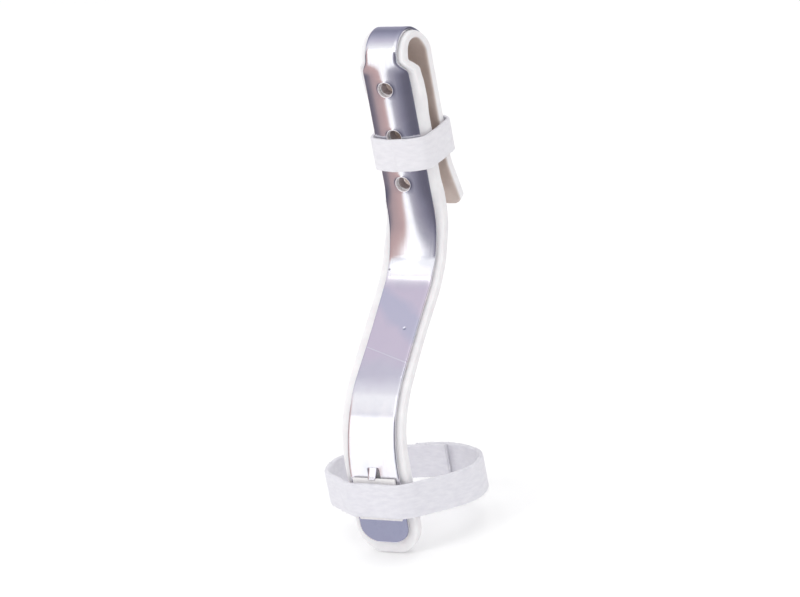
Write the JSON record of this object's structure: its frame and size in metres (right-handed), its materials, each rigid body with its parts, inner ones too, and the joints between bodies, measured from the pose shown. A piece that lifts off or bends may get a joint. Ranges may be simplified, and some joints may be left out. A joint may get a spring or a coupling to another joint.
{
  "type": "finger splint",
  "caption": "Bent aluminium finger splint with foam lining, looped over the fingertip, with finger and wrist straps.",
  "frame": {"origin": "middle of the wrist, at the middle of the wrist strap's width", "axes": "+Z from the wrist to the fingertip, -Y towards the palm side, +X across the strip"},
  "size_m": [0.0588, 0.0897, 0.1791],
  "materials": {
    "aluminium": "semi-polished sheet with fine brushing",
    "foam": "matt closed-cell foam",
    "strap": "white loop pile",
    "hook": "cream hook tape"
  },
  "bodies": {
    "root": {"splint_strip": "aluminium", "foam_lining": "foam", "finger_strap": "strap", "wrist_strap": "strap", "hook_patch": "hook"}
  },
  "joints": []
}
